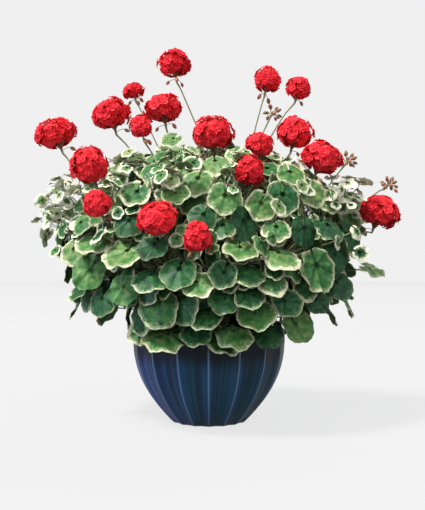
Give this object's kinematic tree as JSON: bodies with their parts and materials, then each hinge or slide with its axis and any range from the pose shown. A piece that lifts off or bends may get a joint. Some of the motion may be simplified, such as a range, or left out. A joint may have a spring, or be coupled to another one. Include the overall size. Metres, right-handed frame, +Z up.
{
  "type": "potted geranium",
  "caption": "Bushy zonal geranium with cream-edged round leaves and red flower heads on tall stalks, growing in a fluted blue glazed bowl pot.",
  "frame": {"origin": "centre of the pot's flat base, on the surface that it stands on", "axes": "+Z up along the pot's axis; the pictured front of the plant faces -Y; +X to the right seen from there"},
  "size_m": [0.7161, 0.6055, 0.7505],
  "materials": {
    "blue_glaze": "deep cobalt glaze, thinner and paler on the ridges",
    "potting_soil": "dark crumbly potting mix of peat and bark",
    "leaf_green": "soft, finely hairy green leaf with a cream edge",
    "petal_red": "velvety scarlet petal"
  },
  "bodies": {
    "root": {"pot": "blue_glaze", "potting_soil": "potting_soil", "leafy_stem_01": "leaf_green", "leafy_stem_02": "leaf_green", "leafy_stem_03": "leaf_green", "leafy_stem_04": "leaf_green", "leafy_stem_05": "leaf_green", "leafy_stem_06": "leaf_green", "leafy_stem_07": "leaf_green", "leafy_stem_08": "leaf_green", "leafy_stem_09": "leaf_green", "leafy_stem_10": "leaf_green", "leafy_stem_11": "leaf_green", "leafy_stem_12": "leaf_green", "flower_head_01": "petal_red", "flower_head_02": "petal_red", "flower_head_03": "petal_red", "flower_head_04": "petal_red", "flower_head_05": "petal_red", "flower_head_06": "petal_red", "flower_head_07": "petal_red", "flower_head_08": "petal_red", "flower_head_09": "petal_red", "flower_head_10": "petal_red", "flower_head_11": "petal_red", "flower_head_12": "petal_red", "flower_head_13": "petal_red", "flower_head_14": "petal_red", "flower_head_15": "petal_red", "flower_head_16": "petal_red", "flower_head_17": "petal_red", "flower_head_18": "petal_red", "flower_head_19": "petal_red", "flower_head_20": "petal_red", "flower_head_21": "petal_red", "flower_head_22": "petal_red", "flower_head_23": "petal_red"}
  },
  "joints": []
}
